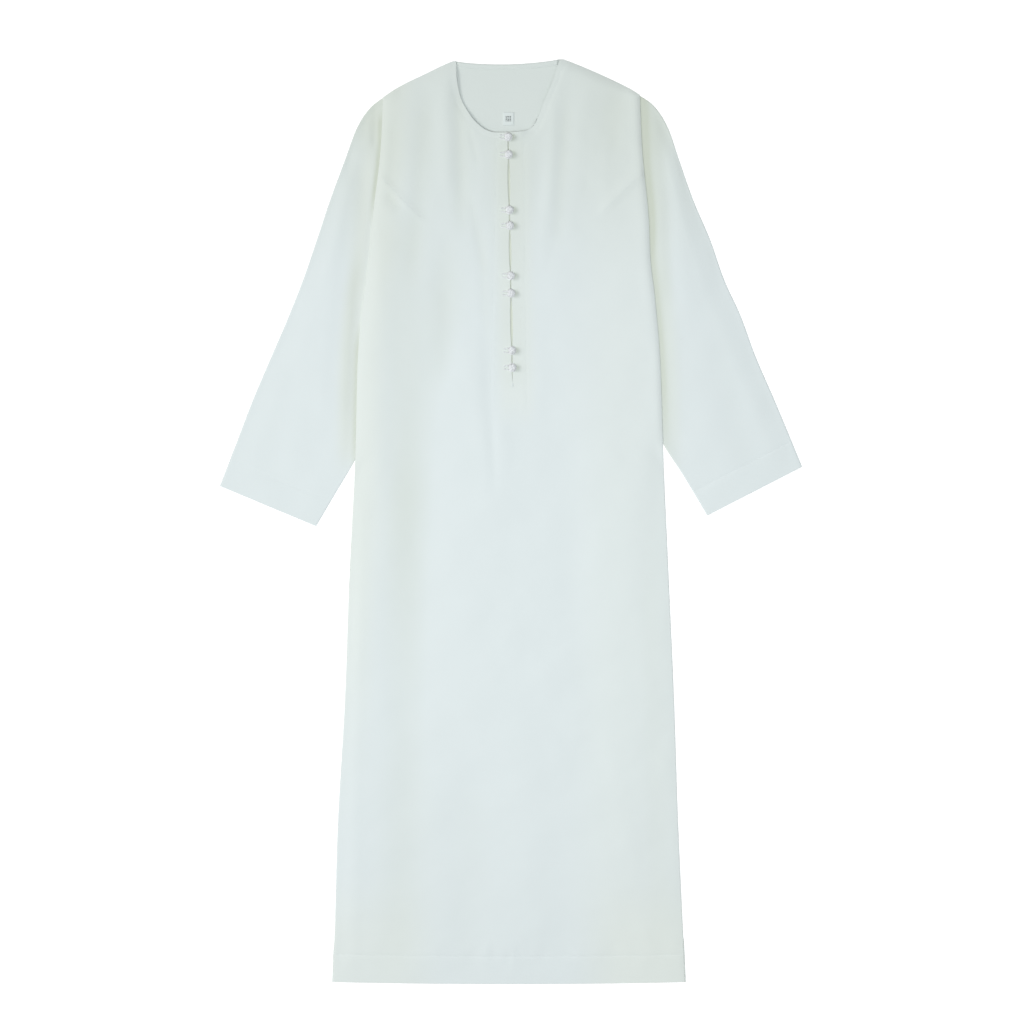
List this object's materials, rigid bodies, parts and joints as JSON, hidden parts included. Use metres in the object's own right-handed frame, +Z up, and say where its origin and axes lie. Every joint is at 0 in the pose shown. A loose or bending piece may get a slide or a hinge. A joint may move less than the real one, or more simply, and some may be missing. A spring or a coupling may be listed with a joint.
{
  "type": "thobe robe",
  "caption": "Long collarless thobe robe laid flat, front up, with a scooped neck, a loop-buttoned neck slit and wide open-cuffed sleeves",
  "frame": {"origin": "middle of the footprint, on the surface that the robe lies on", "axes": "+Z up out of the surface, +Y towards the neck, +X towards the wearer's left sleeve"},
  "size_m": [0.882, 1.402, 0.0156],
  "materials": {
    "cloth": "matt fine plain weave, off-white with a cool tint",
    "cord": "soft twisted cord, white with a lavender tint",
    "label": "satin ribbon"
  },
  "bodies": {
    "root": {"front_panel": "cloth", "back_panel": "cloth", "sleeve_right": "cloth", "sleeve_left": "cloth", "neck_facing": "cloth", "placket_underlap": "cloth", "neck_label": "label", "button_1": "cord", "loop_1": "cord", "button_2": "cord", "loop_2": "cord", "button_3": "cord", "loop_3": "cord", "button_4": "cord", "loop_4": "cord", "button_5": "cord", "loop_5": "cord", "button_6": "cord", "loop_6": "cord", "button_7": "cord", "loop_7": "cord", "button_8": "cord", "loop_8": "cord"}
  },
  "joints": []
}
